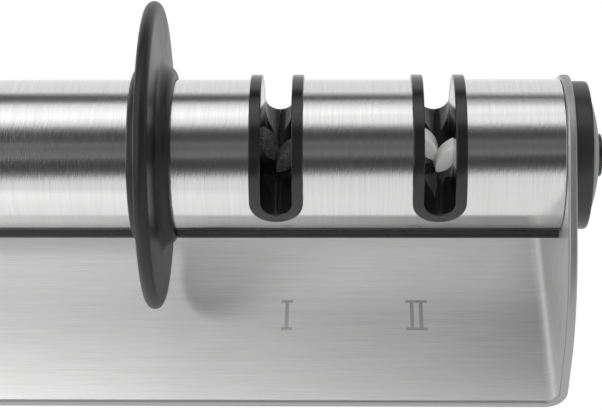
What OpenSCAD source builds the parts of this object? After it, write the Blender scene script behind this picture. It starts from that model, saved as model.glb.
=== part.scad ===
// Pull through knife sharpener: a steel tube with two pairs of crossed wheels, a guard and a U-shaped stand.
// The tube lies along X, the front is towards -Y, and the origin is under the middle, at the feet's soles.

/* [Tube] */
// Outer diameter of the steel sleeves
tube_d = 35; // [33:0.5:38]
// Length of the tube between the side plates
tube_len = 206; // [196:1:230]
// Wall of the steel sleeves
sleeve_wall = 0.8; // [0.5:0.1:1.2]
// Depth of the sleeves' long lower edges below the tube's axis
sleeve_edge_drop = 8.7; // [6:0.1:10]

/* [Guard] */
// Diameter of the finger guard
guard_d = 71; // [62:0.5:80]
// Thickness of the guard's rim
guard_rim_t = 3.2; // [2.4:0.1:5]
// Distance from the middle of the guard to the right end of the tube
guard_to_end = 92.8; // [90:0.5:98]
// Radial thickness of the guard's collar over the sleeve
collar_wall = 3.1; // [2:0.1:5]
// Length of each collar beyond the rim's face
collar_len = 3.3; // [2.5:0.1:4.5]

/* [Knife slots] */
// Distance from the middle of the guard to the first slot
guard_to_slot = 28.3; // [26:0.5:29]
// Distance between the two slots
slot_pitch = 36.5; // [35:0.5:37]
// Clear width of each knife slot
slot_w = 6.9; // [6:0.1:8]
// Height of the centre of the slot's round bottom above the tube's axis
slot_round_z = 1.9; // [1:0.1:3]
// Wall of the slot lining inside the tube
liner_wall = 1.2; // [0.8:0.1:1.4]
// Width of the lining's rim on the sleeve
rim_w = 2.6; // [2:0.1:3.2]
// Height of the lining's rim above the sleeve
rim_proud = 1.1; // [0.6:0.1:1.6]

/* [Wheels] */
// Diameter of the sharpening wheels
wheel_d = 15.4; // [14.8:0.1:15.8]
// Thickness of the sharpening wheels
wheel_t = 3.6; // [3:0.1:4]
// Distance of each wheel's axis from the middle of its slot
wheel_offset = 7.2; // [7.2:0.1:7.4]
// Height of the wheels' axes above the tube's axis
wheel_z = -0.9; // [-1.6:0.1:0]
// Diameter of the axle pins
pin_d = 3; // [2:0.1:3.4]
// Chamfer on the wheels' edges
wheel_chamfer = 0.5; // [0.2:0.1:0.8]

/* [Core] */
// Depth of the keel's flat bottom below the tube's axis
keel_drop = 16; // [15:0.1:18]
// Width of the keel
keel_w = 25.4; // [22:0.1:28]
// Radius of the keel's lower corners
keel_corner_r = 3; // [1:0.1:4]

/* [Stand] */
// Thickness of the stand's sheet
sheet_t = 2; // [1.5:0.1:3]
// Depth of the stand, front to back
stand_depth = 77; // [72:1:90]
// Height of the tube's axis above the base plate
axis_rise = 42; // [40:0.5:50]
// Inner radius of the two bends
bend_r = 3; // [2:0.1:5]
// Margin of the side plates' round tops around the tube
plate_margin = 1; // [0.5:0.1:3]
// Depth of the centre of the side plates' wide round shoulder below the tube's axis
shoulder_drop = 28.5; // [27:0.1:30]
// Height of the rubber feet
foot_h = 1.5; // [1:0.1:4]
// Diameter of the rubber feet
foot_d = 12; // [8:0.5:16]

/* [End caps] */
// Diameter of the end caps
cap_d = 34; // [30:0.5:36]
// Height of an end cap's straight side
cap_side_h = 3.2; // [1.6:0.1:4]
// Rise of the cap's dome above the straight side
cap_dome_h = 3.7; // [2.2:0.1:4.4]
// Diameter of the plug over each end screw
plug_d = 10; // [9:0.1:12]

/* [Hidden] */
$fn = 96;

// Clearances, and how far a cut runs past the face that it opens
seat_gap = 0.05;
run_gap = 0.05;
end_gap = 0.1;
side_gap = 0.2;
wheel_gap = 0.3;
seam_gap = 0.1;
overrun = 1;

tube_r = tube_d / 2;
bore_r = tube_r - sleeve_wall;
base_top_z = foot_h + sheet_t;
axis_z = base_top_z + axis_rise;
plate_in_x = tube_len / 2 + end_gap;
plate_out_x = plate_in_x + sheet_t;
plate_top_r = tube_r + plate_margin;
shoulder_r = stand_depth / 2;

guard_x = tube_len / 2 - guard_to_end;
guard_r = guard_d / 2;
collar_r = tube_r + collar_wall;
collar_round_r = 2.4;
collar_half = guard_rim_t / 2 + collar_len;
collar_fillet_r = 2.2;

slot_x = guard_x + guard_to_slot;
slot_xs = [slot_x, slot_x + slot_pitch];
rim_half = slot_w / 2 + rim_w;
rim_r = tube_r + rim_proud;
liner_half = slot_w / 2 + liner_wall;

wheel_r = wheel_d / 2;
wheel_mid_y = side_gap + wheel_t / 2;
groove_half = side_gap + wheel_t + wheel_gap;
cheek_t = 4.1;
cradle_half_y = groove_half + cheek_t;
axle_land = 4.5;
cradle_half_x = wheel_offset + axle_land;
axle_cover = 2.6;
cradle_top = wheel_z + pin_d / 2 + axle_cover;
wheel_clear_r = wheel_r + wheel_gap;
wheel_foot_z = wheel_z - wheel_clear_r;
cradle_floor_t = 2.3;
cradle_foot_z = wheel_foot_z - cradle_floor_t;
pin_r = pin_d / 2;
spacer_r = 2.3;

spigot_r = 9.9;
spigot_reach = 6;
core_face_x = guard_rim_t / 2 + seat_gap;
keel_face_x = collar_half + end_gap;
coring_r = 3.6;
coring_ring_r = 10.2;
coring_depth_share = 0.78;
peg_r = 1.5;
peg_ring_r = 12;

screw_r = 1.95;
screw_hole_r = 2.2;
screw_head_r = 3.6;
screw_head_h = 2.1;
screw_socket_r = 1.5;
screw_socket_h = 1.2;
insert_r = 2.8;
insert_len = 8;
washer_r = 4.6;
washer_t = 0.5;
cap_floor_t = 1.2;
cap_shoulder_r = 1.4;
plug_rise = 0.6;
plug_bevel = 0.4;
small_screw_r = 1.3;
small_head_r = 2.5;
small_head_h = 1.6;

foot_inset = 11;
foot_chamfer = 0.4;

// Along the tube: children drawn in the YZ plane become prisms from x0 to x1
module along_x(x0, x1) {
    translate([x0, 0, 0]) rotate([90, 0, 90]) linear_extrude(x1 - x0) children();
}

// Across the tube: children drawn in the XZ plane become prisms from y0 to y1
module across_y(y0, y1) {
    translate([0, y1, 0]) rotate([90, 0, 0]) linear_extrude(y1 - y0) children();
}

// A rod along X from x0 to x1
module rod_x(r, x0, x1) {
    translate([x0, 0, 0]) rotate([0, 90, 0]) cylinder(r = r, h = x1 - x0);
}

// A rod along Y from y0 to y1, through x and z
module rod_y(r, x, z, y0, y1) {
    translate([x, y1, z]) rotate([90, 0, 0]) cylinder(r = r, h = y1 - y0);
}

// The upright U of a knife slot, open at the top
module slot_prism(half) {
    across_y(-rim_r - overrun, rim_r + overrun) {
        translate([0, slot_round_z]) circle(half);
        translate([-half, slot_round_z]) square([2 * half, rim_r + overrun]);
    }
}

// Outline of the sleeve: a round wall, open along the bottom
module sleeve_outline() {
    difference() {
        circle(tube_r);
        circle(bore_r);
        translate([-tube_r - overrun, -tube_r - overrun])
            square([2 * (tube_r + overrun), tube_r + overrun - sleeve_edge_drop]);
    }
}

// Outline of the core inside the sleeve and flush below it
module core_outline() {
    intersection() {
        circle(bore_r - seat_gap);
        translate([-tube_r, -keel_drop]) square([tube_d, keel_drop + tube_r]);
    }
    intersection() {
        circle(tube_r - seat_gap);
        translate([-tube_r, -keel_drop]) square([tube_d, keel_drop - sleeve_edge_drop - seat_gap]);
    }
}

// Outline of the keel, with round lower corners
module keel_outline() {
    half = keel_w / 2;
    inner = half - keel_corner_r;
    translate([-inner, -keel_drop]) square([2 * inner, keel_corner_r]);
    translate([-half, keel_corner_r - keel_drop])
        square([keel_w, keel_drop - keel_corner_r - sleeve_edge_drop - seat_gap]);
    for (side = [-1, 1]) translate([side * inner, keel_corner_r - keel_drop]) circle(keel_corner_r);
}

// Points of an arc about [0, z], from one angle to another
function arc_points(r, z, from, to, steps) = [
    for (i = [0 : steps])
        let (angle = from + (to - from) * i / steps)
            [r * cos(angle), z + r * sin(angle)]
];

// Outline of a side plate: a round top, straight flanks and a wide round shoulder down to the base
module plate_outline() {
    flank = asin((shoulder_r - plate_top_r) / shoulder_drop);
    polygon(concat(
        [[-shoulder_r, foot_h - axis_z], [shoulder_r, foot_h - axis_z]],
        arc_points(shoulder_r, -shoulder_drop, 0, flank, 12),
        arc_points(plate_top_r, 0, flank, 180 - flank, 30),
        arc_points(shoulder_r, -shoulder_drop, 180 - flank, 180, 12)));
}

// The room inside a bent U seen from the front: flat below, round at the two bends, open above
module bend_region(half, floor_z, r) {
    height = axis_z + plate_top_r + overrun - floor_z;
    translate([r - half, floor_z]) square([2 * (half - r), height]);
    translate([-half, floor_z + r]) square([2 * half, height - r]);
    for (side = [-1, 1]) translate([side * (half - r), floor_z + r]) circle(r);
}

module stand() {
    color("silver") difference() {
        intersection() {
            across_y(-shoulder_r, shoulder_r) difference() {
                bend_region(plate_out_x, foot_h, bend_r + sheet_t);
                bend_region(plate_in_x, base_top_z, bend_r);
            }
            translate([0, 0, axis_z]) along_x(-plate_out_x, plate_out_x) plate_outline();
        }
        both_ends() {
            rod_x(screw_hole_r, -sheet_t - overrun, overrun);
            for (front = [-1, 1]) translate([0, front * peg_ring_r, 0])
                rod_x(peg_r + seat_gap, -sheet_t - overrun, overrun);
        }
    }
}

module rubber_feet() {
    foot_x = plate_in_x - foot_inset;
    foot_y = shoulder_r - foot_inset;
    color("dimgray") for (x = [-foot_x, foot_x], y = [-foot_y, foot_y]) translate([x, y, 0]) {
        cylinder(r1 = foot_d / 2 - foot_chamfer, r2 = foot_d / 2, h = foot_chamfer);
        translate([0, 0, foot_chamfer]) cylinder(d = foot_d, h = foot_h - foot_chamfer);
    }
}

module handle_sleeve() {
    color("gainsboro") translate([0, 0, axis_z])
        along_x(-tube_len / 2, guard_x - core_face_x) sleeve_outline();
}

module work_sleeve() {
    color("gainsboro") translate([0, 0, axis_z]) difference() {
        along_x(guard_x + core_face_x, tube_len / 2) sleeve_outline();
        for (x = slot_xs) translate([x, 0, 0]) slot_prism(liner_half + seat_gap);
    }
}

// The outer end of a core: the bore for the brass insert and two pegs into the side plate
module core_end_bore() {
    rod_x(insert_r, -insert_len - side_gap, overrun);
}
module core_end_pegs() {
    for (front = [-1, 1]) translate([0, front * peg_ring_r, 0])
        rod_x(peg_r, -peg_r, end_gap + sheet_t - side_gap);
}

module handle_core() {
    grip_len = guard_x + tube_len / 2;
    color([0.13, 0.13, 0.14]) translate([0, 0, axis_z]) {
        difference() {
            union() {
                along_x(-tube_len / 2, guard_x - core_face_x) core_outline();
                along_x(-tube_len / 2, guard_x - keel_face_x) keel_outline();
                rod_x(spigot_r, guard_x - core_face_x - seat_gap, guard_x + guard_rim_t / 2 + spigot_reach);
            }
            translate([-tube_len / 2, 0, 0]) mirror([1, 0, 0]) core_end_bore();
            for (angle = [45 : 90 : 315]) rotate([angle, 0, 0]) translate([0, coring_ring_r, 0])
                rod_x(coring_r, -tube_len / 2 - overrun, coring_depth_share * grip_len - tube_len / 2);
        }
        translate([-tube_len / 2, 0, 0]) mirror([1, 0, 0]) core_end_pegs();
    }
}

module work_core() {
    color([0.13, 0.13, 0.14]) translate([0, 0, axis_z]) {
        difference() {
            union() {
                along_x(guard_x + core_face_x, tube_len / 2) core_outline();
                along_x(guard_x + keel_face_x, tube_len / 2) keel_outline();
            }
            rod_x(spigot_r + seat_gap, guard_x, guard_x + guard_rim_t / 2 + spigot_reach + end_gap);
            translate([tube_len / 2, 0, 0]) core_end_bore();
            for (x = slot_xs) translate([x, 0, 0]) {
                slot_prism(liner_half + 2 * seat_gap);
                translate([-cradle_half_x - end_gap, -cradle_half_y - end_gap, cradle_foot_z - seat_gap])
                    cube([2 * (cradle_half_x + end_gap), 2 * (cradle_half_y + end_gap), tube_d]);
                translate([0, 0, -keel_drop - overrun]) cylinder(r = small_screw_r + side_gap, h = tube_r);
                translate([0, 0, -keel_drop - overrun])
                    cylinder(r = small_head_r + side_gap, h = small_head_h + side_gap + overrun);
            }
            translate([slot_xs[0] - wheel_offset - wheel_clear_r, -groove_half, wheel_foot_z])
                cube([slot_pitch + 2 * (wheel_offset + wheel_clear_r), 2 * groove_half, tube_d]);
        }
        translate([tube_len / 2, 0, 0]) core_end_pegs();
    }
}

// Half section of the guard, radius across and axis up
module guard_outline() {
    half = guard_rim_t / 2;
    for (side = [-1, 1]) scale([1, side]) {
        translate([spigot_r + seat_gap, 0]) square([guard_r - half - spigot_r - seat_gap, half]);
        intersection() {
            translate([guard_r - half, 0]) circle(half);
            translate([guard_r - half, 0]) square(half);
        }
        translate([tube_r + seat_gap, 0]) square([collar_wall - seat_gap - collar_round_r, collar_half]);
        translate([tube_r + seat_gap, 0]) square([collar_wall - seat_gap, collar_half - collar_round_r]);
        intersection() {
            translate([collar_r - collar_round_r, collar_half - collar_round_r]) circle(collar_round_r);
            translate([collar_r - collar_round_r, collar_half - collar_round_r]) square(collar_round_r);
        }
        difference() {
            translate([collar_r, half]) square(collar_fillet_r);
            translate([collar_r + collar_fillet_r, half + collar_fillet_r]) circle(collar_fillet_r);
            translate([collar_r, collar_half - collar_round_r]) square(collar_fillet_r);
        }
    }
}

module finger_guard() {
    color([0.1, 0.1, 0.11]) translate([guard_x, 0, axis_z]) rotate([0, 90, 0])
        rotate_extrude() guard_outline();
}

// One half of a slot lining: the U-shaped wall in the tube with its rim on the sleeve
module liner_half_body(side) {
    color([0.09, 0.09, 0.1]) difference() {
        union() {
            intersection() {
                slot_prism(liner_half);
                rod_x(rim_r, -rim_half, rim_half);
            }
            intersection() {
                slot_prism(rim_half);
                difference() {
                    rod_x(rim_r, -rim_half, rim_half);
                    rod_x(tube_r + seat_gap, -rim_half - overrun, rim_half + overrun);
                }
            }
        }
        slot_prism(slot_w / 2);
        rod_y(wheel_clear_r, wheel_offset, wheel_z, -groove_half, 0);
        rod_y(wheel_clear_r, -wheel_offset, wheel_z, 0, groove_half);
        translate([side > 0 ? -tube_d : -seam_gap / 2, -tube_d, -tube_d])
            cube([tube_d + seam_gap / 2, 2 * tube_d, 2 * tube_d]);
    }
}
module coarse_liner_left() { translate([slot_xs[0], 0, axis_z]) liner_half_body(-1); }
module coarse_liner_right() { translate([slot_xs[0], 0, axis_z]) liner_half_body(1); }
module fine_liner_left() { translate([slot_xs[1], 0, axis_z]) liner_half_body(-1); }
module fine_liner_right() { translate([slot_xs[1], 0, axis_z]) liner_half_body(1); }

// A carrier with two cheeks that hold the wheel pins
module cradle_body() {
    color([0.2, 0.2, 0.21]) difference() {
        translate([-cradle_half_x, -cradle_half_y, cradle_foot_z])
            cube([2 * cradle_half_x, 2 * cradle_half_y, cradle_top - cradle_foot_z]);
        slot_prism(liner_half + 2 * seat_gap);
        translate([-wheel_offset - wheel_clear_r, -groove_half, wheel_foot_z])
            cube([2 * (wheel_offset + wheel_clear_r), 2 * groove_half, tube_d]);
        for (x = [-wheel_offset, wheel_offset])
            rod_y(pin_r, x, wheel_z, -cradle_half_y - overrun, cradle_half_y + overrun);
        translate([0, 0, cradle_foot_z - overrun])
            cylinder(r = small_screw_r, h = cradle_floor_t + 2 * overrun);
    }
}
module coarse_cradle() { translate([slot_xs[0], 0, axis_z]) cradle_body(); }
module fine_cradle() { translate([slot_xs[1], 0, axis_z]) cradle_body(); }

// A sharpening wheel on its pin: front wheels lie right of the slot and rear wheels left of it
module wheel_body(front) {
    half = wheel_t / 2;
    translate([-front * wheel_offset, front * wheel_mid_y, wheel_z]) rotate([90, 0, 0]) rotate_extrude()
        polygon([
            [pin_r + run_gap, -half],
            [wheel_r - wheel_chamfer, -half],
            [wheel_r, wheel_chamfer - half],
            [wheel_r, half - wheel_chamfer],
            [wheel_r - wheel_chamfer, half],
            [pin_r + run_gap, half]]);
}
module coarse_front_wheel() { color([0.25, 0.25, 0.26]) translate([slot_xs[0], 0, axis_z]) wheel_body(-1); }
module coarse_rear_wheel() { color([0.25, 0.25, 0.26]) translate([slot_xs[0], 0, axis_z]) wheel_body(1); }
module fine_front_wheel() { color("white") translate([slot_xs[1], 0, axis_z]) wheel_body(-1); }
module fine_rear_wheel() { color("white") translate([slot_xs[1], 0, axis_z]) wheel_body(1); }

// An axle pin, held in both cheeks of its cradle
module pin_body(front) {
    color("lightgray") rod_y(pin_r, -front * wheel_offset, wheel_z, -cradle_half_y, cradle_half_y);
}
module coarse_front_pin() { translate([slot_xs[0], 0, axis_z]) pin_body(-1); }
module coarse_rear_pin() { translate([slot_xs[0], 0, axis_z]) pin_body(1); }
module fine_front_pin() { translate([slot_xs[1], 0, axis_z]) pin_body(-1); }
module fine_rear_pin() { translate([slot_xs[1], 0, axis_z]) pin_body(1); }

module wheel_spacers() {
    near = side_gap / 2;
    color("gray") for (x = slot_xs, front = [-1, 1]) translate([x, 0, axis_z]) difference() {
        rod_y(spacer_r, -front * wheel_offset, wheel_z,
            front > 0 ? -groove_half : near, front > 0 ? -near : groove_half);
        rod_y(pin_r + run_gap, -front * wheel_offset, wheel_z, -cradle_half_y, cradle_half_y);
    }
}

module cradle_screws() {
    shank_top = keel_drop + wheel_foot_z - side_gap;
    color("dimgray") for (x = slot_xs) translate([x, 0, axis_z - keel_drop]) {
        translate([0, 0, side_gap]) difference() {
            cylinder(r = small_head_r, h = small_head_h);
            translate([0, 0, -overrun])
                cylinder(r = small_screw_r / 2, h = overrun + small_head_h / 2, $fn = 6);
        }
        translate([0, 0, side_gap + small_head_h])
            cylinder(r = small_screw_r - seat_gap, h = shank_top - side_gap - small_head_h);
    }
}

// Children drawn for the right end, pointing out along +X from the plate's outer face, at both ends
module both_ends() {
    for (side = [0, 1]) mirror([side, 0, 0]) translate([plate_out_x, 0, axis_z]) children();
}

module threaded_inserts() {
    color("goldenrod") both_ends() translate([-sheet_t - end_gap, 0, 0]) difference() {
        rod_x(insert_r, -insert_len, 0);
        rod_x(screw_r, -insert_len - overrun, overrun);
    }
}

module end_washers() {
    color("silver") both_ends() translate([cap_floor_t, 0, 0]) difference() {
        rod_x(washer_r, 0, washer_t);
        rod_x(screw_hole_r, -overrun, washer_t + overrun);
    }
}

module end_screws() {
    color("silver") both_ends() translate([cap_floor_t + washer_t, 0, 0]) {
        rod_x(screw_r, -cap_floor_t - washer_t - sheet_t - end_gap - insert_len, 0);
        difference() {
            rod_x(screw_head_r, 0, screw_head_h);
            rotate([0, 90, 0]) translate([0, 0, screw_head_h - screw_socket_h])
                cylinder(r = screw_socket_r, h = screw_socket_h + overrun, $fn = 6);
        }
    }
}

// Half section of an end cap, radius across and axis up
module cap_outline() {
    cap_r = cap_d / 2;
    shoulder_in = cap_r - cap_shoulder_r;
    dome_h = cap_dome_h - cap_shoulder_r / 2;
    dome_r = (pow(shoulder_in, 2) + pow(dome_h, 2)) / (2 * dome_h);
    apex = cap_side_h + cap_dome_h;
    square([cap_r, cap_side_h]);
    intersection() {
        translate([shoulder_in, cap_side_h]) circle(cap_shoulder_r);
        translate([shoulder_in, cap_side_h]) square(cap_shoulder_r);
    }
    square([shoulder_in, apex - dome_h]);
    intersection() {
        translate([0, apex - dome_r]) circle(dome_r, $fn = 4 * $fn);
        translate([0, cap_side_h]) square([shoulder_in, cap_dome_h]);
    }
}

module end_cap() {
    color([0.12, 0.12, 0.13]) difference() {
        rotate([0, 90, 0]) rotate_extrude() cap_outline();
        rod_x(screw_hole_r, -overrun, cap_floor_t + overrun);
        rod_x(plug_d / 2, cap_floor_t, cap_side_h + cap_dome_h + overrun);
    }
}
module left_end_cap() { translate([-plate_out_x, 0, axis_z]) mirror([1, 0, 0]) end_cap(); }
module right_end_cap() { translate([plate_out_x, 0, axis_z]) end_cap(); }

module screw_plugs() {
    plug_r = plug_d / 2 - seat_gap;
    plug_foot = cap_floor_t + washer_t + screw_head_h + end_gap;
    plug_top = cap_side_h + cap_dome_h + plug_rise;
    color([0.08, 0.08, 0.09]) both_ends() rotate([0, 90, 0]) {
        translate([0, 0, plug_foot]) cylinder(r = plug_r, h = plug_top - plug_bevel - plug_foot);
        translate([0, 0, plug_top - plug_bevel])
            cylinder(r1 = plug_r, r2 = plug_r - plug_bevel, h = plug_bevel);
    }
}

stand();
rubber_feet();
handle_sleeve();
work_sleeve();
handle_core();
work_core();
finger_guard();
coarse_liner_left();
coarse_liner_right();
fine_liner_left();
fine_liner_right();
coarse_cradle();
fine_cradle();
coarse_front_wheel();
coarse_rear_wheel();
fine_front_wheel();
fine_rear_wheel();
coarse_front_pin();
coarse_rear_pin();
fine_front_pin();
fine_rear_pin();
wheel_spacers();
cradle_screws();
threaded_inserts();
end_screws();
end_washers();
left_end_cap();
right_end_cap();
screw_plugs();
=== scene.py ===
# Pull through knife sharpener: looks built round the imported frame, in metres
import math

import bmesh
import bpy
from mathutils import Matrix, Vector


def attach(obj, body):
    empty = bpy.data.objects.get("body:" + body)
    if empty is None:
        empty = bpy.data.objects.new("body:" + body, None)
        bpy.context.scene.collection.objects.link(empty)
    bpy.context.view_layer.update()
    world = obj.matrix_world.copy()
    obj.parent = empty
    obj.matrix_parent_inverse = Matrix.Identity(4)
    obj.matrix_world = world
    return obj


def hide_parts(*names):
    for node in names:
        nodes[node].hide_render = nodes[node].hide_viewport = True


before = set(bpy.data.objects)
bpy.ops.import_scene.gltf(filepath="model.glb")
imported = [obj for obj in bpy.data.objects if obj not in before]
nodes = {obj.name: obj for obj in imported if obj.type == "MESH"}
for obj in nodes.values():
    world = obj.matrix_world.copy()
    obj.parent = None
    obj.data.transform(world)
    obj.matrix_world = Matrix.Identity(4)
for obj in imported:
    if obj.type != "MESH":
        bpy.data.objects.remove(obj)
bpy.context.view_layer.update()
mm = 0.001

quarterTurn = math.pi / 2
# Sizes that several pieces share, the same as in the frame
tube = {"r": 17.5 * mm, "wall": 0.8 * mm, "axisZ": 45.5 * mm, "half": 103 * mm, "edgeDrop": 8.7 * mm}
guardX = 10.2 * mm
coreFace = 1.65 * mm
slotXs = {"coarse": 38.5 * mm, "fine": 75 * mm}
mainBody = "stand_and_tube"
# each end's name, the way its turned pieces point, and its side of the middle
ends = (("left", "-x", -1), ("right", "x", 1))
# edges sharper than this many degrees stay sharp
crease = {"cutter": 35, "piece": 40, "rim": 50}


# Shader and geometry nodes

# One socket's value, so that node maths reads as plain maths
class Flow:
    def __init__(self, maker, socket):
        self.maker = maker
        self.socket = socket

    def join(self, operation, first, second):
        return self.maker.out("ShaderNodeMath", {"operation": operation}, {0: first, 1: second})

    def __add__(self, other):
        return self.join("ADD", self, other)

    def __sub__(self, other):
        return self.join("SUBTRACT", self, other)

    def __mul__(self, other):
        return self.join("MULTIPLY", self, other)

    def __truediv__(self, other):
        return self.join("DIVIDE", self, other)


class NodeMaker:
    def __init__(self, tree):
        self.tree = tree

    # Any node: its settings first, then the values or links of its sockets
    def add(self, kind, settings=None, inputs=None):
        node = self.tree.nodes.new(kind)
        for name, value in (settings or {}).items():
            if name == "stops":
                self.fillRamp(node.color_ramp, value)
            else:
                setattr(node, name, value)
        for name, value in (inputs or {}).items():
            source = value.socket if isinstance(value, Flow) else value
            if isinstance(source, bpy.types.NodeSocket):
                self.tree.links.new(source, node.inputs[name])
            else:
                node.inputs[name].default_value = source
        return node

    def out(self, kind, settings=None, inputs=None, output=0):
        return Flow(self, self.add(kind, settings, inputs).outputs[output])

    def fillRamp(self, ramp, stops):
        while len(ramp.elements) > 1:
            ramp.elements.remove(ramp.elements[-1])
        for index, (place, tone) in enumerate(stops):
            element = ramp.elements[0] if index == 0 else ramp.elements.new(place)
            element.position = place
            element.color = (tone, tone, tone, 1)

    # Object coordinates centred on a point and stretched, so a small scale makes long streaks
    def stretched(self, scale, centre=(0, 0, 0), source="Object"):
        place = self.out("ShaderNodeTexCoord", {}, {}, source)
        shift = [-c * s for c, s in zip(centre, scale)]
        return self.out("ShaderNodeMapping", {}, {"Vector": place, "Scale": scale, "Location": shift})

    # Noise, crisper with more than two octaves
    def noise(self, vector, scale, octaves):
        roughness = noiseLook["crisp"] if octaves > 2 else noiseLook["soft"]
        return self.out("ShaderNodeTexNoise", {}, {"Vector": vector, "Scale": scale,
                                                   "Detail": octaves, "Roughness": roughness})

    def spread(self, value, low, high, toLow=0, toHigh=1):
        return self.out("ShaderNodeMapRange", {}, {"Value": value, "From Min": low, "From Max": high,
                                                   "To Min": toLow, "To Max": toHigh})

    # Noise stays near its middle, so its inner part is spread over the whole range
    def spreadNoise(self, value, toLow=0, toHigh=1):
        return self.spread(value, noiseLook["low"], noiseLook["high"], toLow, toHigh)

    def blend(self, factor, first, second):
        return self.out("ShaderNodeMix", {"data_type": "RGBA"}, {0: factor, 6: first, 7: second}, 2)

    def bump(self, height, distance, strength=1.0):
        return self.out("ShaderNodeBump", {}, {"Height": height, "Distance": distance,
                                               "Strength": strength})


# The inner part of a noise's range, and the roughness of soft and crisp noise
noiseLook = {"low": 0.3, "high": 0.7, "soft": 0.5, "crisp": 0.6}


def grey(tone, warm=0.0):
    return (tone * (1 + warm), tone, tone * (1 - warm), 1)


def newMaterial(name, build):
    material = bpy.data.materials.new(name)
    material.use_nodes = True
    tree = material.node_tree
    tree.nodes.clear()
    maker = NodeMaker(tree)
    shader = maker.add("ShaderNodeBsdfPrincipled", {}, build(maker))
    maker.add("ShaderNodeOutputMaterial", {}, {"Surface": shader.outputs[0]})
    return material


brushedTube = {"tone": 0.64, "metallic": 1.0, "streak": 0.05, "rough": 0.15, "roughStreak": 0.1,
               "lineWidth": 0.16 * mm, "lineLength": 10 * mm,
               "grainWidth": 0.26 * mm, "grainLength": 1.5 * mm, "groove": 0.022 * mm}
brushedSheet = {"tone": 0.58, "metallic": 0.68, "streak": 0.09, "rough": 0.36, "roughStreak": 0.12,
                "lineWidth": 0.34 * mm, "lineLength": 16 * mm,
                "grainWidth": 0.3 * mm, "grainLength": 6 * mm, "groove": 0.05 * mm}
# share and scale of the broad streaks among the fine ones, and the inner part of the mix that shows
scratchLook = {"broadShare": 0.3, "broadScale": 0.17, "low": 0.32, "high": 0.68, "warmth": 0.004}


# Fine parallel scratches, with a short grain that feathers what they mirror
def brushedSteel(maker, look, lines, grain):
    own = scratchLook
    broadLines = maker.out("ShaderNodeVectorMath", {"operation": "SCALE"},
                           {0: lines, "Scale": own["broadScale"]})
    broad = maker.noise(broadLines, 1.0, 2)
    fine = maker.noise(lines, 1.0, 3)
    scratch = fine * (1 - own["broadShare"]) + broad * own["broadShare"]
    dark = grey(look["tone"] * (1 - look["streak"]), own["warmth"])
    light = grey(look["tone"] * (1 + look["streak"]))
    swing = look["roughStreak"] / 2
    return {
        "Base Color": maker.blend(maker.spread(scratch, own["low"], own["high"]), dark, light),
        "Metallic": look["metallic"],
        "Roughness": maker.spreadNoise(scratch, look["rough"] + swing, look["rough"] - swing),
        "Normal": maker.bump(maker.noise(grain, 1.0, 2), look["groove"])}


# Round the tube: narrow along X, long both other ways
def tubeFinish(maker):
    look = brushedTube
    ways = [maker.stretched((1 / look[kind + "Width"],) + (1 / look[kind + "Length"],) * 2,
                            (0, 0, tube["axisZ"])) for kind in ("line", "grain")]
    return brushedSteel(maker, look, *ways)


# Along the sheet: the flat places before bending are the sheet's UV map
def sheetFinish(maker):
    look = brushedSheet
    ways = [maker.stretched((1 / look[kind + "Length"], 1 / look[kind + "Width"], 1), source="UV")
            for kind in ("line", "grain")]
    return brushedSteel(maker, look, *ways)


mouldedLook = {"cloudScale": 60, "cloudShare": 0.4, "toneSwing": 0.15, "roughSwing": 0.1}


# Moulded plastic: a fine grain, with a little wear in the gloss
def plastic(maker, tone, rough, grain, grainSize=0.35 * mm, shine=0.5):
    own = mouldedLook
    place = maker.out("ShaderNodeTexCoord", {}, {}, "Object")
    fine = maker.noise(place, 1 / grainSize, 3)
    cloud = maker.noise(place, own["cloudScale"], 2)
    mottle = fine * (1 - own["cloudShare"]) + cloud * own["cloudShare"]
    return {
        "Base Color": maker.blend(maker.spreadNoise(mottle), grey(tone * (1 - own["toneSwing"])),
                                  grey(tone * (1 + own["toneSwing"]))),
        "Roughness": maker.spreadNoise(cloud, rough * (1 - own["roughSwing"]),
                                       rough * (1 + own["roughSwing"])),
        "Specular IOR Level": shine,
        "Normal": maker.bump(fine, grain)}


# Grit: the few brightest cells are coloured lighter, a painted glint of facets that catch the light, and
# are also less rough
coarseGrit = {"tone": 0.05, "paintedGlint": 0.32, "grain": 0.12 * mm, "depth": 0.03 * mm, "bumpScale": 0.7,
              "bumpStrength": 0.7, "paintedGlintFrom": 0.86, "paintedGlintTo": 0.95, "glossFrom": 0.8,
              "dull": 0.62, "shiny": 0.3}


def gritFinish(maker):
    look = coarseGrit
    place = maker.out("ShaderNodeTexCoord", {}, {}, "Object")
    cells = maker.out("ShaderNodeTexVoronoi", {}, {"Vector": place, "Scale": 1 / look["grain"]}, "Color")
    spark = maker.out("ShaderNodeSeparateColor", {}, {"Color": cells})
    height = maker.noise(place, look["bumpScale"] / look["grain"], 3)
    return {
        # painted glint: the brightest cells take a light tone in the base colour
        "Base Color": maker.blend(maker.spread(spark, look["paintedGlintFrom"], look["paintedGlintTo"]),
                                  grey(look["tone"]), grey(look["paintedGlint"])),
        "Roughness": maker.spread(spark, look["glossFrom"], 1, look["dull"], look["shiny"]),
        "Normal": maker.bump(height, look["depth"], look["bumpStrength"])}


# Ceramic: unglazed, with grey smears where steel has rubbed off
fineCeramic = {"tone": 0.93, "warmth": 0.01, "rubbed": 0.78, "grainScale": 5500, "grain": 0.012 * mm,
               "smearScale": (260, 900, 260), "smearFrom": 0.56, "smearTo": 0.75, "smearShare": 0.7,
               "roughLow": 0.42, "roughHigh": 0.55, "inner": 0.06,
               "innerReach": (0.6 * mm, 0.6 * mm, 0.5 * mm)}


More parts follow.
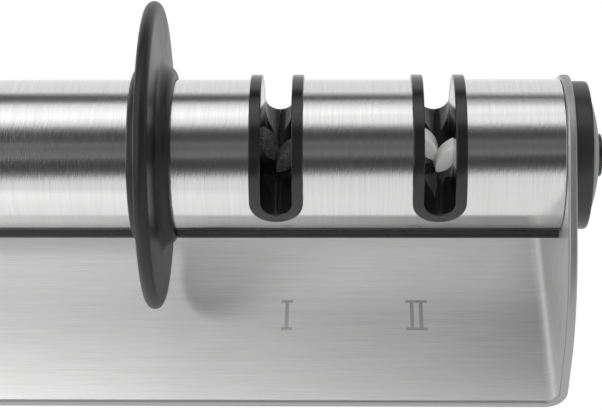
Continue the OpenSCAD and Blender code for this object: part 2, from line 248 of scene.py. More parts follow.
def ceramicFinish(maker):
    look = fineCeramic
    place = maker.out("ShaderNodeTexCoord", {}, {}, "Object")
    grain = maker.noise(place, look["grainScale"], 3)
    smear = maker.noise(maker.stretched(look["smearScale"]), 1.0, 4)
    share = maker.spread(smear, look["smearFrom"], look["smearTo"], 0, look["smearShare"])
    return {
        "Base Color": maker.blend(share, grey(look["tone"], look["warmth"]), grey(look["rubbed"])),
        "Roughness": maker.spreadNoise(grain, look["roughLow"], look["roughHigh"]),
        "Subsurface Weight": look["inner"],
        "Subsurface Radius": look["innerReach"],
        "Normal": maker.bump(grain, look["grain"])}


turnedLook = {"scale": 4200, "toneSwing": 0.14, "roughSwing": 0.15, "groove": 0.002 * mm}


# Turned or ground metal, for the small fittings and the cut edges of the sheet
def turnedMetal(maker, colour, rough):
    own = turnedLook
    place = maker.out("ShaderNodeTexCoord", {}, {}, "Object")
    fine = maker.noise(place, own["scale"], 3)
    dark = tuple(c * (1 - own["toneSwing"]) for c in colour[:3]) + (1,)
    return {
        "Base Color": maker.blend(maker.spreadNoise(fine), dark, colour),
        "Metallic": 1.0,
        "Roughness": maker.spreadNoise(fine, rough * (1 - own["roughSwing"]),
                                       rough * (1 + own["roughSwing"])),
        "Normal": maker.bump(fine, own["groove"])}


# Each finish with its material's name and what it asks for; only some set the grain's size or the shine
plasticLooks = {
    "core": ("coreBlack", {"tone": 0.005, "rough": 0.28, "grain": 0.004 * mm, "shine": 0.25}),
    "guard": ("guardBlack", {"tone": 0.005, "rough": 0.38, "grain": 0.005 * mm, "shine": 0.3}),
    "cap": ("capBlack", {"tone": 0.009, "rough": 0.34, "grain": 0.01 * mm}),
    "rim": ("rimSatinBlack", {"tone": 0.006, "rough": 0.15, "grain": 0.003 * mm}),
    "liner": ("linerGlossBlack", {"tone": 0.008, "rough": 0.1, "grain": 0.001 * mm,
                                  "grainSize": 1.2 * mm}),
    "cradle": ("cradleBlack", {"tone": 0.02, "rough": 0.5, "grain": 0.008 * mm}),
    "spacer": ("spacerGrey", {"tone": 0.16, "rough": 0.45, "grain": 0.005 * mm}),
    "rubber": ("footRubber", {"tone": 0.02, "rough": 0.72, "grain": 0.02 * mm, "grainSize": 0.5 * mm}),
    "mark": ("etchedGrey", {"tone": 0.145, "rough": 0.6, "grain": 0.004 * mm}),
}
metalLooks = {
    "edge": ("cutSteelEdge", {"colour": grey(0.42), "rough": 0.5}),
    "steel": ("groundSteel", {"colour": grey(0.55), "rough": 0.25}),
    "brass": ("turnedBrass", {"colour": (0.72, 0.5, 0.2, 1), "rough": 0.3}),
}
materials = {
    "tube": newMaterial("brushedTubeSteel", tubeFinish),
    "sheet": newMaterial("brushedSheetSteel", sheetFinish),
    "grit": newMaterial("coarseGrit", gritFinish),
    "ceramic": newMaterial("fineCeramic", ceramicFinish),
}
for finishes, build in ((plasticLooks, plastic), (metalLooks, turnedMetal)):
    for finish, (title, look) in finishes.items():
        materials[finish] = newMaterial(title, lambda maker: build(maker, **look))
print("materials:", len(materials))


# Pieces

def newObject(name, data):
    made = bpy.data.objects.new(name, data)
    bpy.context.scene.collection.objects.link(made)
    return made


def newPiece(name, mesh, finishes, body, replaced=()):
    piece = newObject(name, mesh)
    # clearing an empty list would reset the faces' finishes
    if mesh.materials:
        mesh.materials.clear()
    for finish in finishes:
        mesh.materials.append(materials[finish])
    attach(piece, body)
    if replaced:
        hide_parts(*replaced)
    return piece


def meshFrom(name, points, faces):
    mesh = bpy.data.meshes.new(name)
    mesh.from_pydata(points, [], faces)
    mesh.validate()
    return mesh


# Shades a mesh smooth, apart from its sharp edges
def shade(mesh, kind="piece"):
    mesh.shade_smooth()
    mesh.set_sharp_from_angle(angle=math.radians(crease[kind]))
    return mesh


# Turns a closed shape's faces outwards and shades it
def settle(mesh, kind="piece", merge=0.0):
    work = bmesh.new()
    work.from_mesh(mesh)
    if merge:
        bmesh.ops.remove_doubles(work, verts=work.verts, dist=merge)
    bmesh.ops.recalc_face_normals(work, faces=work.faces)
    work.to_mesh(mesh)
    work.free()
    return shade(mesh, kind)


def weighNormals(piece):
    weigh = piece.modifiers.new("evenShading", "WEIGHTED_NORMAL")
    weigh.keep_sharp = True
    weigh.weight = 60
    return piece


# A quarter circle, as (along, up) shares of its radius
def quarter(steps):
    turns = [quarterTurn * i / steps for i in range(steps + 1)]
    return [(math.sin(turn), math.cos(turn)) for turn in turns]


# The faces of a prism whose second ring of corners follows the first
def prismFaces(count):
    caps = [tuple(range(count)), tuple(range(2 * count - 1, count - 1, -1))]
    return caps + [(i, (i + 1) % count, (i + 1) % count + count, i + count) for i in range(count)]


# Runs a modifier on a mesh and returns the result as a mesh of its own
def evaluated(piece):
    graph = bpy.context.evaluated_depsgraph_get()
    mesh = bpy.data.meshes.new_from_object(piece.evaluated_get(graph))
    bpy.data.objects.remove(piece)
    return mesh


def boolean(mesh, tool, operation):
    piece = newObject("scratchPiece", mesh)
    cutter = newObject("scratchCutter", tool)
    cut = piece.modifiers.new("cut", "BOOLEAN")
    cut.operation = operation
    cut.solver = "EXACT"
    cut.object = cutter
    result = evaluated(piece)
    bpy.data.objects.remove(cutter)
    return result


# Stand: one sheet, bent twice, with a flat outline that is mapped onto the bent path

stand = {"sheet": 2 * mm, "depth": 77 * mm, "insideX": 103.1 * mm, "bendR": 3 * mm, "footH": 1.5 * mm,
         "topR": 18.5 * mm, "shoulderDrop": 28.5 * mm, "edgeR": 0.55 * mm, "bendSteps": 10, "edgeSteps": 4,
         "shoulderSteps": 18, "topSteps": 24}


# At s from the base's middle: the place, the way out of the sheet and the way along it
def standPath(s, height):
    side = math.copysign(1, s)
    run = abs(s)
    flat = stand["insideX"] - stand["bendR"]
    midR = stand["bendR"] + stand["sheet"] / 2
    arc = midR * quarterTurn
    centreZ = stand["footH"] + stand["sheet"] + stand["bendR"]
    if run <= flat:
        x, z, turn = run, centreZ - midR - height, 0
    elif run <= flat + arc:
        turn = (run - flat) / midR
        x = flat + (midR + height) * math.sin(turn)
        z = centreZ - (midR + height) * math.cos(turn)
    else:
        turn = quarterTurn
        x, z = flat + midR + height, centreZ + run - flat - arc
    out = Vector((side * math.sin(turn), 0, -math.cos(turn)))
    along = Vector((math.cos(turn), 0, side * math.sin(turn)))
    return Vector((side * x, 0, z)), out, along


# The right half of the flat outline, front to rear, as (s, y, outward s, outward y)
def standOutline():
    half = stand["depth"] / 2
    flat = stand["insideX"] - stand["bendR"]
    arc = (stand["bendR"] + stand["sheet"] / 2) * quarterTurn
    bendTopZ = stand["footH"] + stand["sheet"] + stand["bendR"]
    axisS = flat + arc + tube["axisZ"] - bendTopZ
    shoulderS = axisS - stand["shoulderDrop"]
    flank = math.asin((half - stand["topR"]) / stand["shoulderDrop"])
    front = [(flat + arc * i / stand["bendSteps"], -half, 0, -1) for i in range(stand["bendSteps"] + 1)]
    # the wide shoulder, then the round top as far as its middle
    arcs = ((shoulderS, half, 0, flank, stand["shoulderSteps"]),
            (axisS, stand["topR"], flank, quarterTurn, stand["topSteps"]))
    for centreS, radius, start, end, steps in arcs:
        for i in range(steps + 1):
            turn = start + (end - start) * i / steps
            outS, outY = math.sin(turn), -math.cos(turn)
            front.append((centreS + radius * outS, radius * outY, outS, outY))
    rear = [(s, -y, outS, -outY) for s, y, outS, outY in reversed(front[:-1])]
    return front + rear


def makeStand():
    right = standOutline()
    loop = right + [(-s, y, -outS, outY) for s, y, outS, outY in reversed(right)]
    half = stand["sheet"] / 2
    edge = stand["edgeR"]
    # (way in from the outline, height over the sheet's middle, outward and upward share of the normal)
    profile = [(edge * (1 - s), half - edge * (1 - c), s, c) for s, c in quarter(stand["edgeSteps"])]
    profile += [(d, -h, s, -c) for d, h, s, c in reversed(profile)]
    points, normals, flatPlaces = [], [], []
    for s, y, outS, outY in loop:
        for inward, height, sideways, upward in profile:
            flatPlace = (s - outS * inward, y - outY * inward)
            place, out, along = standPath(flatPlace[0], height)
            outward = along * outS + Vector((0, outY, 0))
            points.append(place + Vector((0, flatPlace[1], 0)))
            normals.append((out * upward + outward * sideways).normalized())
            flatPlaces.append(flatPlace)
    width = len(profile)
    count = len(loop)
    faces = []
    for i in range(count):
        for j in range(width - 1):
            a, b = i * width + j, (i + 1) % count * width + j
            faces.append((a, b, b + 1, a + 1))
    # the skins: a face for each side plate, strips across each bend, and one face for the base
    wing = len(right)
    bend = stand["bendSteps"]
    for skin in (0, width - 1):
        patches = [range(start + bend, start + wing - bend) for start in (0, wing)]
        for start in (0, wing):
            last = start + wing - 1
            patches += [(start + i, start + i + 1, last - i - 1, last - i) for i in range(bend)]
        patches.append((0, wing - 1, wing, 2 * wing - 1))
        for patch in patches:
            corners = [i * width + skin for i in patch]
            faces.append(tuple(corners if skin else reversed(corners)))
    mesh = meshFrom("standSheet", points, faces)
    mesh.shade_smooth()
    for face in mesh.polygons[:count * (width - 1)]:
        face.material_index = 1
    uv = mesh.uv_layers.new(name="sheetPlace")
    for corner in mesh.loops:
        uv.data[corner.index].uv = flatPlaces[corner.vertex_index]
    mesh.normals_split_custom_set_from_vertices(normals)
    return newPiece("stand_sheet", mesh, ["sheet", "edge"], mainBody, ["stand"])


standPiece = makeStand()
print("stand:", len(standPiece.data.polygons), "faces")


# Sleeves: a thin wall round the tube, open below, with broken edges

sleeveLook = {"edgeR": 0.28 * mm, "edgeShares": (0, 0.08, 0.3, 0.62, 1), "bevel": 0.3, "steps": 176,
              "seat": 0.05 * mm}


def sleeveMesh(name, x0, x1):
    edge, steps, bevel = sleeveLook["edgeR"], sleeveLook["steps"], sleeveLook["bevel"]
    low = math.asin(-tube["edgeDrop"] / tube["r"])
    span = math.pi - 2 * low
    brief = [share * edge / tube["r"] for share in sleeveLook["edgeShares"]]
    inner = [brief[-1] + (span - 2 * brief[-1]) * i / steps for i in range(1, steps)]
    places = brief + inner + [span - b for b in reversed(brief)]
    # (x, how far the outer face is let in there, as a share of the edge's radius)
    start = [(0, 1), (bevel * edge, bevel), (edge, 0)]
    rings = [(x0 + x, share) for x, share in start] + [(x1 - x, share) for x, share in reversed(start)]
    points = []
    for x, share in rings:
        for wall in (0, 1):
            for place in places:
                near = min(place, span - place) * tube["r"]
                drop = edge - math.sqrt(max(0, edge ** 2 - max(0, edge - near) ** 2))
                radius = tube["r"] - (tube["wall"] if wall else max(drop, share * edge))
                turn = low + place
                points.append((x, -radius * math.cos(turn), tube["axisZ"] + radius * math.sin(turn)))
    count = len(places)
    faces = []
    for ring in range(len(rings) - 1):
        for i in range(count - 1):
            for wall in (0, 1):
                a = (ring * 2 + wall) * count + i
                b = a + 2 * count
                faces.append((a, a + 1, b + 1, b))
        for i in (0, count - 1):
            a = ring * 2 * count + i
            faces.append((a, a + count, a + 3 * count, a + 2 * count))
    for ring in (0, len(rings) - 1):
        for i in range(count - 1):
            a = ring * 2 * count + i
            faces.append((a, a + 1, a + 1 + count, a + count))
    return settle(meshFrom(name, points, faces))


slotShape = {"half": 3.45 * mm, "roundZ": 1.9 * mm, "wall": 1.2 * mm, "rimW": 2.6 * mm,
             "rimProud": 1.1 * mm, "overrun": 4 * mm, "steps": 40}


# A slot's upright U through the tube, as a prism along Y
def slotPrism(x, half):
    reach = tube["r"] + slotShape["overrun"]
    turns = [math.pi * i / slotShape["steps"] for i in range(slotShape["steps"] + 1)]
    outline = [(half * math.cos(turn), -half * math.sin(turn)) for turn in turns]
    outline += [(-half, reach), (half, reach)]
    floorZ = tube["axisZ"] + slotShape["roundZ"]
    points = [(x + across, y, floorZ + up) for y in (-reach, reach) for across, up in outline]
    return settle(meshFrom("slotPrism", points, prismFaces(len(outline))), "cutter")


def makeSleeves():
    handle = sleeveMesh("handleSleeve", -tube["half"], guardX - coreFace)
    work = sleeveMesh("workSleeve", guardX + coreFace, tube["half"])
    for x in slotXs.values():
        opening = slotPrism(x, slotShape["half"] + slotShape["wall"] + sleeveLook["seat"])
        work = boolean(work, opening, "DIFFERENCE")
    settle(work)
    weighNormals(newPiece("handle_sleeve_steel", handle, ["tube"], mainBody,
                          ["handle_sleeve"]))
    weighNormals(newPiece("work_sleeve_steel", work, ["tube"], mainBody,
                          ["work_sleeve"]))


makeSleeves()
print("sleeves done")


# Slot linings: the frame's wall, trimmed inside the tube, under a swept rim with rounded edges

rimLook = {"edgeR": 0.3 * mm, "edgeSteps": 5, "bottomSteps": 16, "overSteps": 72, "inset": 0.02 * mm,
           "keep": 17.3 * mm, "foot": 16.7 * mm, "lift": 0.04 * mm, "seam": 0.015 * mm,
           "seamReach": 0.07 * mm, "rodSteps": 160, "merge": 0.002 * mm}


# The rim's section, as (half width, radius)
def rimProfile():
    inner = slotShape["half"] - rimLook["inset"]
    outer = slotShape["half"] + slotShape["rimW"]
    top = tube["r"] + slotShape["rimProud"]
    edge = rimLook["edgeR"]
    curve = quarter(rimLook["edgeSteps"])
    section = [(inner, rimLook["foot"])]
    section += [(inner + edge * (1 - up), top - edge * (1 - along)) for along, up in curve]
    section += [((inner + outer) / 2, top)]
    section += [(outer - edge * (1 - along), top - edge * (1 - up)) for along, up in curve]
    section += [(outer, tube["r"] + rimLook["lift"])]
    return section + [(slotShape["half"] + slotShape["wall"], rimLook["foot"])]


# Stage runs from 0 at the front seam to 3 at the rear seam: round the bottom, over the top, round again
def rimPlace(x, side, half, radius, stage):
    if 1 < stage < 2:
        start = math.asin(slotShape["roundZ"] / radius)
        turn = start + (math.pi - 2 * start) * (stage - 1)
        out, y, z = half, -radius * math.cos(turn), radius * math.sin(turn)
    else:
        share = stage if stage <= 1 else 3 - stage
        first = math.asin(rimLook["seam"] / half)
        turn = first + (quarterTurn - first) * share
        out, z = half * math.sin(turn), slotShape["roundZ"] - half * math.cos(turn)
        front = -1 if stage <= 1 else 1
        y = front * math.sqrt(radius ** 2 - z ** 2)
    return Vector((x + side * out, y, tube["axisZ"] + z))


def rimMesh(x, side):
    section = rimProfile()
    bottom, over = rimLook["bottomSteps"], rimLook["overSteps"]
    stages = [i / bottom for i in range(bottom + 1)]
    stages += [1 + i / over for i in range(1, over)]
    stages += [2 + i / bottom for i in range(bottom + 1)]
    points = [rimPlace(x, side, half, radius, stage) for stage in stages for half, radius in section]
    count = len(section)
    faces = []
    for i in range(len(stages) - 1):
        for j in range(count):
            a, b = i * count + j, i * count + (j + 1) % count
            faces.append((a, b, b + count, a + count))
    faces += [tuple(range(count)), tuple(range(len(points) - count, len(points)))]
    return settle(meshFrom("rim", points, faces), "rim")


# A rod along the tube's axis
def axisRod(radius, x0, x1):
    steps = rimLook["rodSteps"]
    turns = [math.tau * i / steps for i in range(steps)]
    points = [(x, radius * math.cos(turn), tube["axisZ"] + radius * math.sin(turn))
              for x in (x0, x1) for turn in turns]
    return settle(meshFrom("rod", points, prismFaces(steps)), "cutter")


def joinMeshes(name, meshes):
    joined = bmesh.new()
    for mesh in meshes:
        joined.from_mesh(mesh)
    result = bpy.data.meshes.new(name)
    joined.to_mesh(result)
    joined.free()
    return shade(result)


# One half of a lining: its seam is closed to a hairline, and the rim covers the wall's upper edge
def makeLiner(stage, sideName, side):
    node = f"{stage}_liner_{sideName}"
    x = slotXs[stage]
    reach = slotShape["half"] + slotShape["overrun"]
    wall = nodes[node].data.copy()
    wall.materials.clear()
    settle(wall, "cutter", rimLook["merge"])
    for vertex in wall.vertices:
        if abs(vertex.co.x - x) < rimLook["seamReach"]:
            vertex.co.x = x + side * rimLook["seam"]
    wall = boolean(wall, axisRod(rimLook["keep"], x - reach, x + reach), "INTERSECT")
    mesh = joinMeshes(node, [wall, rimMesh(x, side)])
    for face in mesh.polygons[:len(wall.polygons)]:
        face.material_index = 1
    weighNormals(newPiece(node + "_shell", mesh, ["rim", "liner"], mainBody, [node]))


for stageName in slotXs:
    for sideName, axis, side in ends:
        makeLiner(stageName, sideName, side)
print("linings done")


# Turned pieces: Geometry Nodes sweep a half section round a circle and stand it on its axis

# A Geometry Nodes tree with its inputs: returns the tree, its maker and the inputs' sockets
def newTree(title, inputs):
    tree = bpy.data.node_groups.new(title, "GeometryNodeTree")
    for name, kind in inputs.items():
        tree.interface.new_socket(name=name, in_out="INPUT", socket_type="NodeSocket" + kind)
    tree.interface.new_socket(name="Geometry", in_out="OUTPUT", socket_type="NodeSocketGeometry")
    maker = NodeMaker(tree)
    return tree, maker, maker.add("NodeGroupInput").outputs


# Runs a tree on a scratch object, with a value for each input apart from the object's own mesh
def runTree(piece, tree, values):
    names = {item.name: item.identifier for item in tree.interface.items_tree if item.in_out == "INPUT"}
    modifier = piece.modifiers.new(tree.name, "NODES")
    modifier.node_group = tree
    for name, value in values.items():
        modifier[names[name]] = value
    return settle(evaluated(piece))


def turnedTree():
    tree, maker, given = newTree("turnedPart", {"Section": "Geometry", "Segments": "Int", "Tilt": "Vector",
                                                "Place": "Vector", "Hoop Radius": "Float",
                                                "Finish": "Material"})
    hoop = maker.out("GeometryNodeCurvePrimitiveCircle", {},
                     {"Resolution": given["Segments"], "Radius": given["Hoop Radius"]})
    section = maker.out("GeometryNodeMeshToCurve", {}, {"Mesh": given["Section"]})
    swept = maker.out("GeometryNodeCurveToMesh", {}, {"Curve": hoop, "Profile Curve": section})
    tight = maker.out("GeometryNodeMergeByDistance", {},
                      {"Geometry": swept, "Distance": turnedSweep["merge"]})
    placed = maker.out("GeometryNodeTransform", {},
                       {"Geometry": tight, "Translation": given["Place"], "Rotation": given["Tilt"]})
    real = maker.out("GeometryNodeRealizeInstances", {}, {"Geometry": placed})
    done = maker.out("GeometryNodeSetMaterial", {}, {"Geometry": real, "Material": given["Finish"]})
    maker.add("NodeGroupOutput", {}, {"Geometry": done})
    return tree


turnedSweep = {"hoopR": 1.0 * mm, "merge": 0.001 * mm, "core": 0.02 * mm,
               "tilts": {"x": (0, quarterTurn, 0), "-x": (0, -quarterTurn, 0), "y": (-quarterTurn, 0, 0),
                         "z": (0, 0, 0)}}
turned = turnedTree()


# The section is a closed list of (radius, height along the axis)
def turnedMesh(section, axis, place, finish, segments):
    hoopR = turnedSweep["hoopR"]
    points = [(radius - hoopR, -height, 0) for radius, height in section]
    edges = [(i, (i + 1) % len(points)) for i in range(len(points))]
    outline = bpy.data.meshes.new("section")
    outline.from_pydata(points, edges, [])
    return runTree(newObject("scratchTurned", outline), turned, {
        "Segments": segments, "Tilt": turnedSweep["tilts"][axis], "Place": place, "Hoop Radius": hoopR,
        "Finish": materials[finish]})


# Points round a centre, with angles in degrees from the radius direction towards the axis direction
def arcPoints(centre, radius, start, end, steps):
    turns = [math.radians(start + (end - start) * i / steps) for i in range(steps + 1)]
    return [(centre[0] + radius * math.cos(t), centre[1] + radius * math.sin(t)) for t in turns]


guardLook = {"r": 35.5 * mm, "rimHalf": 1.6 * mm, "dome": 0.25 * mm, "flareR": 2.9 * mm,
             "collarR": 20.6 * mm, "collarHalf": 4.9 * mm, "collarRound": 2.2 * mm, "seat": 17.55 * mm,
             "bore": 9.95 * mm, "steps": 8, "rimFrom": 78, "rimSteps": 7, "segments": 192}


def guardSection():
    g = guardLook
    rim, collar = g["rimHalf"], g["collarHalf"]
    side = [(g["seat"], collar)]
    # the round of the collar and the hollow of the flare touch, so the side is one smooth curve
    roundR, roundX = g["collarR"] - g["collarRound"], collar - g["collarRound"]
    flareX = rim + g["dome"] + g["flareR"]
    both = g["collarRound"] + g["flareR"]
    touch = math.degrees(math.asin((flareX - roundX) / both))
    flareEnd = roundR + math.sqrt(both ** 2 - (flareX - roundX) ** 2)
    side += arcPoints((roundR, roundX), g["collarRound"], 90, touch, g["steps"])
    side += arcPoints((flareEnd, flareX), g["flareR"], 180 + touch, 270, g["steps"])[1:]
    # a shallow dome from the flare to the rim
    faceW = g["r"] - rim - flareEnd
    shares = [i / g["steps"] for i in range(1, g["steps"] + 1)]
    side += [(flareEnd + faceW * share, rim + g["dome"] * (1 - share ** 2)) for share in shares]
    side += arcPoints((g["r"] - rim, 0), rim, g["rimFrom"], 0, g["rimSteps"])
    back = [(r, -x) for r, x in reversed(side[:-1])]
    inner = [(g["seat"], -rim), (g["bore"], -rim), (g["bore"], rim), (g["seat"], rim)]
    return side + back + inner


def makeGuard():
    mesh = turnedMesh(guardSection(), "x", (guardX, 0, tube["axisZ"]), "guard", guardLook["segments"])
    newPiece("finger_guard_disc", mesh, ["guard"], mainBody, ["finger_guard"])


makeGuard()

capLook = {"r": 17 * mm, "side": 3.2 * mm, "shoulder": 1.4 * mm, "shoulderTo": 30, "shoulderSteps": 5,
           "dome": 3.7 * mm, "domeIn": 0.2 * mm, "domeSteps": 14, "footEdge": 0.3 * mm, "floor": 1.2 * mm,
           "bore": 2.2 * mm, "lip": 0.5 * mm, "lipIn": 0.15 * mm, "lipDrop": 0.1 * mm,
           "lipDepth": 0.35 * mm, "plateX": 105.1 * mm, "segments": 144}
plugLook = {"r": 5 * mm, "gap": 0.05 * mm, "rise": 0.6 * mm, "foot": 3.9 * mm, "edge": 0.4 * mm,
            "edgeSteps": 5, "dishFrom": 1.3 * mm, "dishTo": 1.7 * mm, "dishDrop": 0.12 * mm,
            "dishFloor": 0.2 * mm, "segments": 96}


def capSection():
    c = capLook
    inR = c["r"] - c["shoulder"]
    domeH = c["dome"] - c["shoulder"] / 2
    domeR = (inR ** 2 + domeH ** 2) / (2 * domeH)
    rise = c["side"] + c["dome"] - domeR
    section = [(c["bore"], 0), (c["r"] - c["footEdge"], 0), (c["r"], c["footEdge"])]
    section += arcPoints((inR, c["side"]), c["shoulder"], 0, c["shoulderTo"], c["shoulderSteps"])
    # the dome, down to a small lip round the plug
    holeR = plugLook["r"]
    outerR, innerR = inR - c["domeIn"], holeR + c["lip"]
    radii = [outerR + (innerR - outerR) * i / c["domeSteps"] for i in range(c["domeSteps"] + 1)]
    section += [(r, rise + math.sqrt(domeR ** 2 - r ** 2)) for r in radii]
    lipZ = rise + math.sqrt(domeR ** 2 - holeR ** 2)
    section += [(holeR + c["lipIn"], lipZ - c["lipDrop"]), (holeR, lipZ - c["lipDepth"])]
    return section + [(holeR, c["floor"]), (c["bore"], c["floor"])]


# The plug's button has a round edge and a shallow dish
def plugSection():
    look, core = plugLook, turnedSweep["core"]
    top = capLook["side"] + capLook["dome"] + look["rise"]
    r = look["r"] - look["gap"]
    section = [(core, look["foot"]), (r, look["foot"])]
    section += arcPoints((r - look["edge"], top - look["edge"]), look["edge"], 0, 90, look["edgeSteps"])
    section += [(r - look["dishFrom"], top), (r - look["dishTo"], top - look["dishDrop"])]
    return section + [(core, top - look["dishFloor"])]


def makeCapsAndPlugs():
    plugs = []
    for name, axis, side in ends:
        spot = (side * capLook["plateX"], 0, tube["axisZ"])
        dome = turnedMesh(capSection(), axis, spot, "cap", capLook["segments"])
        newPiece(f"{name}_end_cap_dome", dome, ["cap"], mainBody, [f"{name}_end_cap"])
        plugs.append(turnedMesh(plugSection(), axis, spot, "cap", plugLook["segments"]))
    newPiece("screw_plug_buttons", joinMeshes("plugs", plugs), ["cap"], mainBody,
             ["screw_plugs"])


makeCapsAndPlugs()

wheelLook = {"r": 7.7 * mm, "half": 1.8 * mm, "edgeR": 0.5 * mm, "edgeSteps": 4, "bore": 1.55 * mm,
             "offset": 7.2 * mm, "z": -0.9 * mm, "midY": 2 * mm, "segments": 112,
             "coarse": ("grit", "coarse_abrasive"), "fine": ("ceramic", "fine_ceramic")}


def wheelSection():
    w = wheelLook
    inR, inH = w["r"] - w["edgeR"], w["half"] - w["edgeR"]
    section = [(w["bore"], -w["half"])]
    section += arcPoints((inR, -inH), w["edgeR"], -90, 0, w["edgeSteps"])
    section += arcPoints((inR, inH), w["edgeR"], 0, 90, w["edgeSteps"])
    return section + [(w["bore"], w["half"])]


# Each wheel rides its own body and turns with it
def makeWheels():
    w = wheelLook
    for stage, x in slotXs.items():
        finish, slot = w[stage]
        for where, front in (("front", 1), ("rear", -1)):
            spot = (x + front * w["offset"], -front * w["midY"], tube["axisZ"] + w["z"])
            node = f"{stage}_{where}_wheel"
            mesh = turnedMesh(wheelSection(), "y", spot, finish, w["segments"])
            newPiece(node + "_disc", mesh, [finish], node, [node])


makeWheels()
print("turned pieces done")

footLook = {"r": 6 * mm, "h": 1.5 * mm, "edgeR": 0.45 * mm, "edgeSteps": 4, "x": 92.1 * mm,
            "y": 27.5 * mm, "segments": 64}


# Feet: one turned foot, set out by Geometry Nodes on the four points of a grid
def feetTree():
    tree, maker, given = newTree("feetOnGrid", {"Foot": "Geometry", "Pitch X": "Float",
                                                "Pitch Y": "Float", "Finish": "Material"})
    grid = maker.out("GeometryNodeMeshGrid", {}, {"Size X": given["Pitch X"],
                                                  "Size Y": given["Pitch Y"],
                                                  "Vertices X": 2, "Vertices Y": 2})
    feet = maker.out("GeometryNodeInstanceOnPoints", {}, {"Points": grid, "Instance": given["Foot"]})
    real = maker.out("GeometryNodeRealizeInstances", {}, {"Geometry": feet})
    done = maker.out("GeometryNodeSetMaterial", {}, {"Geometry": real, "Material": given["Finish"]})
    maker.add("NodeGroupOutput", {}, {"Geometry": done})
    return tree


def makeFeet():
    f, core = footLook, turnedSweep["core"]
    section = [(core, 0)]
    section += arcPoints((f["r"] - f["edgeR"], f["edgeR"]), f["edgeR"], -90, 0, f["edgeSteps"])
    section += [(f["r"], f["h"]), (core, f["h"])]
    foot = turnedMesh(section, "z", (0, 0, 0), "rubber", f["segments"])
    feet = runTree(newObject("scratchFeet", foot), feetTree(),
                   {"Pitch X": 2 * f["x"], "Pitch Y": 2 * f["y"], "Finish": materials["rubber"]})
    newPiece("rubber_foot_pads", feet, ["rubber"], mainBody, ["rubber_feet"])


makeFeet()
print("feet done")

# Stage marks: plain numerals etched into the base in front of each slot
markLook = {"height": 9.9 * mm, "stroke": 0.85 * mm, "serif": 0.8 * mm, "y": -10.9 * mm,
            "lift": 0.02 * mm,
            "coarse": {"x": 39.85 * mm, "w": 2.7 * mm, "bars": [0]},
            "fine": {"x": 71.2 * mm, "w": 5.2 * mm, "bars": [-1.1 * mm, 1.1 * mm]}}


def makeMarks():
    m = markLook
    top = stand["footH"] + stand["sheet"]
    # each block as its middle and its size, two serifs and then the bars of a numeral
    blocks = []
    for mark in (m[stage] for stage in slotXs):
        for end in (-1, 1):
            serifY = m["y"] + end * (m["height"] - m["serif"]) / 2
            blocks.append((mark["x"], serifY, mark["w"], m["serif"]))
        for bar in mark["bars"]:
            blocks.append((mark["x"] + bar, m["y"], m["stroke"], m["height"] - 2 * m["serif"]))
    ring = ((-1, -1), (1, -1), (1, 1), (-1, 1))
    points, faces = [], []
    for x, y, width, depth in blocks:
        base = len(points)
        points += [(x + across * width / 2, y + along * depth / 2, top + up * m["lift"])
                   for up in (-1, 1) for across, along in ring]
        box = prismFaces(len(ring))
        faces += [tuple(base + i for i in face) for face in [face[::-1] for face in box[:2]] + box[2:]]
    newPiece("stage_marks", meshFrom("marks", points, faces), ["mark"], mainBody)


makeMarks()
print("marks done")


# Finishes of the frame's own nodes that stay
kept = {"core": ["handle_core", "work_core"], "cradle": ["coarse_cradle", "fine_cradle"],
        "spacer": ["wheel_spacers"], "brass": ["threaded_inserts"],
        "steel": ["coarse_front_pin", "coarse_rear_pin", "fine_front_pin", "fine_rear_pin", "cradle_screws",
                  "end_screws", "end_washers"]}
for finish, names in kept.items():
    for name in names:
        slots = nodes[name].data.materials
        slots.clear()
        slots.append(materials[finish])


# Studio: a white table, a low white wall behind it, a long soft light overhead and a dark room in front

studio = {"reach": 3.0, "wallY": 1.3, "wallTop": 0.8, "tone": 0.85, "shadowShare": 0.05,
          # brightness by direction round the X axis: 0 front horizon, 90 overhead, 180 rear horizon
          "sky": [(0, 1.0), (4, 0.85), (7, 0.66), (10, 0.35), (13, 0.2), (18, 0.09), (27, 0.06),
                  (33, 0.09), (39, 0.24), (45, 0.18), (51, 0.15), (57, 0.19), (63, 0.1), (69, 0.07),
                  (76, 0.11), (82, 0.32), (88, 1.0), (95, 1.25), (102, 1.2), (109, 1.15), (116, 0.95),
                  (121, 0.8), (127, 0.45), (132, 0.2), (137, 0.12), (142, 0.14), (148, 0.5),
                  (154, 0.85), (180, 0.9)],
          # the bands fan out to one side, and the room's two far sides have one plain tone
          "pivot": 110, "lean": 0.33, "leanAt": 0.17, "side": {"from": 0.85, "to": 0.98, "tone": 0.55},
          # a soft window out of the picture on the left, in front
          "window": {"from": -0.26, "to": -0.6, "low": 20, "high": 112, "soft": 16, "tone": 2.0},
          # what matt surfaces see: a fill from the front, a little weaker from the left
          "forMatt": 2.3, "mattSky": [(0, 1.0), (60, 0.95), (95, 0.55), (180, 0.35)], "mattLean": 0.2}


# Where a ray is of one kind, such as "Camera", this is 1, and elsewhere 0
def rayShare(maker, kind):
    return maker.out("ShaderNodeLightPath", {}, {}, f"Is {kind} Ray")


def stageMaterial():
    material = bpy.data.materials.new("whiteTable")
    material.use_nodes = True
    material.node_tree.nodes.clear()
    maker = NodeMaker(material.node_tree)
    matt = maker.out("ShaderNodeBsdfDiffuse", {}, {"Color": grey(studio["tone"])})
    glow = maker.out("ShaderNodeEmission", {}, {"Color": grey(1.0), "Strength": 1.0})
    seen = rayShare(maker, "Camera") + rayShare(maker, "Glossy") + rayShare(maker, "Transmission")
    mixed = maker.out("ShaderNodeMixShader", {}, {0: seen * (1 - studio["shadowShare"]), 1: matt, 2: glow})
    maker.add("ShaderNodeOutputMaterial", {}, {"Surface": mixed})
    return material


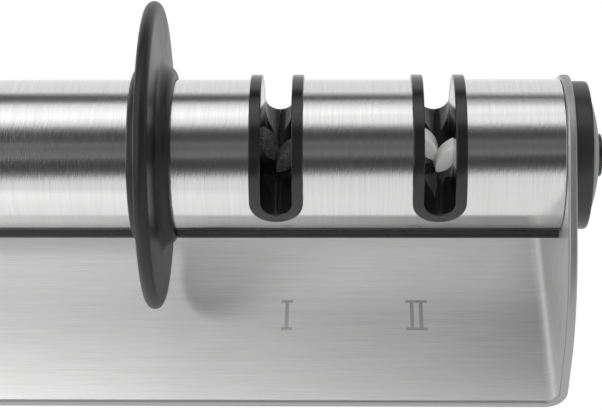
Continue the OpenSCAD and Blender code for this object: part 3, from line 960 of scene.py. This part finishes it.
def makeStage():
    reach, y, top = (studio[name] for name in ("reach", "wallY", "wallTop"))
    cards = {"studio_table": [(-reach, -reach, 0), (reach, -reach, 0),
                              (reach, reach, 0), (-reach, reach, 0)],
             "studio_wall": [(-reach, y, 0), (reach, y, 0), (reach, y, top), (-reach, y, top)]}
    white = stageMaterial()
    for name, points in cards.items():
        card = newObject(name, meshFrom(name, points, [(0, 1, 2, 3)]))
        card.data.materials.append(white)


# Brightness by direction, from stops of (degrees, tone)
def ramp(maker, stops, angle):
    return maker.out("ShaderNodeValToRGB", {"stops": [(degrees / 180, tone) for degrees, tone in stops]},
                     {"Fac": angle / 180})


def makeWorld():
    world = bpy.data.worlds.new("studioRoom")
    bpy.context.scene.world = world
    world.use_nodes = True
    world.node_tree.nodes.clear()
    maker = NodeMaker(world.node_tree)
    way = maker.out("ShaderNodeTexCoord", {}, {}, "Generated")
    sideways, along, up = (maker.out("ShaderNodeSeparateXYZ", {}, {0: way}, i) for i in range(3))
    angle = maker.out("ShaderNodeMath", {"operation": "ARCTAN2"}, {0: up, 1: along * -1}) * (180 / math.pi)
    fan = sideways * studio["lean"] + 1 + studio["lean"] * studio["leanAt"]
    sky = ramp(maker, studio["sky"], (angle - studio["pivot"]) * fan + studio["pivot"])
    window, soft = studio["window"], studio["window"]["soft"]
    inWindow = (maker.spread(sideways, window["from"], window["to"])
                * maker.spread(angle, window["low"] - soft, window["low"] + soft)
                * maker.spread(angle, window["high"] + soft, window["high"] - soft))
    lit = maker.blend(inWindow, sky, grey(window["tone"]))
    side = studio["side"]
    away = maker.out("ShaderNodeMath", {"operation": "ABSOLUTE"}, {0: sideways})
    room = maker.blend(maker.spread(away, side["from"], side["to"]), lit, grey(side["tone"]))
    seen = maker.blend(rayShare(maker, "Camera") + rayShare(maker, "Transmission"), room, grey(1.0))
    matt = rayShare(maker, "Diffuse")
    fill = maker.out("ShaderNodeVectorMath", {"operation": "SCALE"},
                     {0: ramp(maker, studio["mattSky"], angle), "Scale": sideways * studio["mattLean"] + 1})
    glow = maker.out("ShaderNodeBackground", {}, {"Color": maker.blend(matt, seen, fill),
                                                  "Strength": matt * (studio["forMatt"] - 1) + 1})
    maker.add("ShaderNodeOutputWorld", {}, {"Surface": glow})


makeStage()
makeWorld()

# The side softbox is a narrow beam on the base's left front, which steel and plastic don't mirror
lampLooks = {"overheadSoftbox": {"place": (-0.25, 0.35, 1.1), "aim": (0.02, 0, 0.04), "width": 1.6,
                                 "depth": 0.5, "watts": 0.9, "spread": 180, "mirrored": True},
             "sideSoftbox": {"place": (-0.2, -0.3, 0.3), "aim": (-0.07, -0.13, 0.0), "width": 0.12,
                             "depth": 0.12, "watts": 0.7, "spread": 34, "mirrored": False}}


def makeLamps():
    for name, look in lampLooks.items():
        light = bpy.data.lights.new(name, "AREA")
        light.shape = "RECTANGLE"
        light.size = look["width"]
        light.size_y = look["depth"]
        light.energy = look["watts"]
        light.spread = math.radians(look["spread"])
        lamp = newObject(name, light)
        lamp.visible_glossy = look["mirrored"]
        place, aim = Vector(look["place"]), Vector(look["aim"])
        lamp.location = place
        lamp.rotation_euler = (aim - place).to_track_quat("-Z", "Y").to_euler()


makeLamps()

# Camera: from the user's side, looking down at the tube
cameraLook = {"place": (53.8 * mm, -318.3 * mm, 328.3 * mm), "yaw": 1.854, "pitch": 43.15,
              "roll": -1.264, "lens": 110.28, "sensor": 36, "near": 0.01}


def makeCamera():
    look = cameraLook
    yaw, pitch, roll = (math.radians(look[name]) for name in ("yaw", "pitch", "roll"))
    # unturned, a camera looks straight down, so it is raised until it looks down by the pitch alone
    facing = (Matrix.Rotation(yaw, 4, "Z") @ Matrix.Rotation(quarterTurn - pitch, 4, "X")
              @ Matrix.Rotation(roll, 4, "Z"))
    data = bpy.data.cameras.new("userView")
    data.sensor_width = look["sensor"]
    data.lens = look["lens"]
    data.clip_start = look["near"]
    camera = newObject("userView", data)
    camera.matrix_world = Matrix.Translation(look["place"]) @ facing
    bpy.context.scene.camera = camera


makeCamera()
bpy.context.scene.view_settings.view_transform = "Standard"
